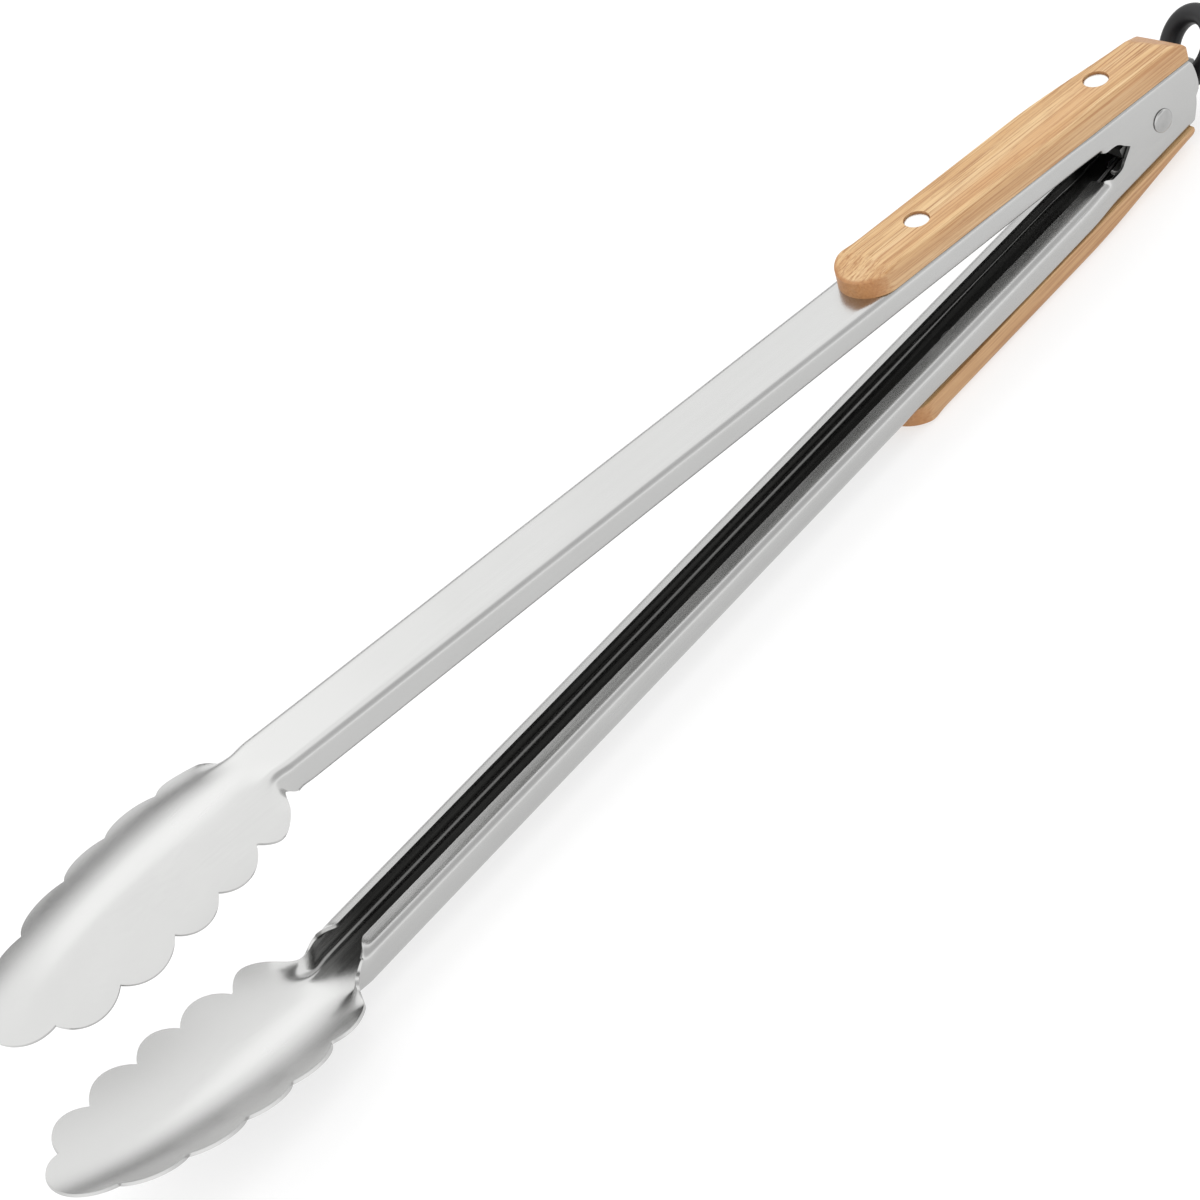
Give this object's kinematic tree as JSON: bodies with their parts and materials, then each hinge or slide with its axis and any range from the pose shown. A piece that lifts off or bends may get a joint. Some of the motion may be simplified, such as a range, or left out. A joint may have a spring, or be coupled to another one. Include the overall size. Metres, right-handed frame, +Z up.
{
  "type": "kitchen tongs",
  "caption": "Long spring-opened steel tongs with wooden grip scales, scalloped spoon tips, a riveted hinge and a pull-ring lock.",
  "frame": {"origin": "point of the lower grip scale's flat outer face straight below the hinge pin, midway between the arms' sides", "axes": "+X from the hinge pin towards the spoons, along the lower arm; +Y along the hinge pin, towards its domed head; +Z up, the way the upper arm opens"},
  "size_m": [0.4527, 0.048, 0.086],
  "materials": {
    "arm_steel": "fine satin stainless steel, brushed along the arm",
    "handle_wood": "oiled pale hardwood, grain along the handle, darker end grain",
    "rivet_steel": "bright flat rivet disc",
    "pin_steel": "polished stainless steel",
    "spring_steel": "drawn stainless spring wire",
    "slider_steel": "plain stainless sheet",
    "ring_rubber": "smooth black moulded rubber"
  },
  "bodies": {
    "lower_jaw": {"lower_arm": "arm_steel", "lower_handle_scale": "handle_wood", "lower_rear_rivet_socket": "rivet_steel", "lower_rear_rivet_stud": "rivet_steel", "lower_front_rivet_socket": "rivet_steel", "lower_front_rivet_stud": "rivet_steel", "pivot_pin": "pin_steel", "pivot_spacer": "pin_steel", "pivot_washer": "pin_steel", "torsion_spring": "spring_steel"},
    "upper_jaw": {"upper_arm": "arm_steel", "upper_handle_scale": "handle_wood", "upper_rear_rivet_socket": "rivet_steel", "upper_rear_rivet_stud": "rivet_steel", "upper_front_rivet_socket": "rivet_steel", "upper_front_rivet_stud": "rivet_steel"},
    "lock": {"lock_slider": "slider_steel"},
    "ring": {"pull_ring": "ring_rubber"}
  },
  "joints": [
    {"name": "jaw_hinge", "type": "hinge", "parent": "lower_jaw", "child": "upper_jaw", "pos_m": [0, 0, 0.01716], "axis": [0, -1, 0], "range_deg": [-6.8, 0], "stiffness_Nm_per_rad": 2.2, "springref_deg": 11.46, "deforming": ["torsion_spring"]},
    {"name": "lock_slide", "type": "slide", "parent": "lower_jaw", "child": "lock", "axis": [-1, 0, 0], "range_m": [0, 0.007]},
    {"name": "ring_swing", "type": "hinge", "parent": "lock", "child": "ring", "pos_m": [-0.0172, 0, 0.01376], "axis": [0, 1, 0], "range_deg": [-78, 22]}
  ]
}
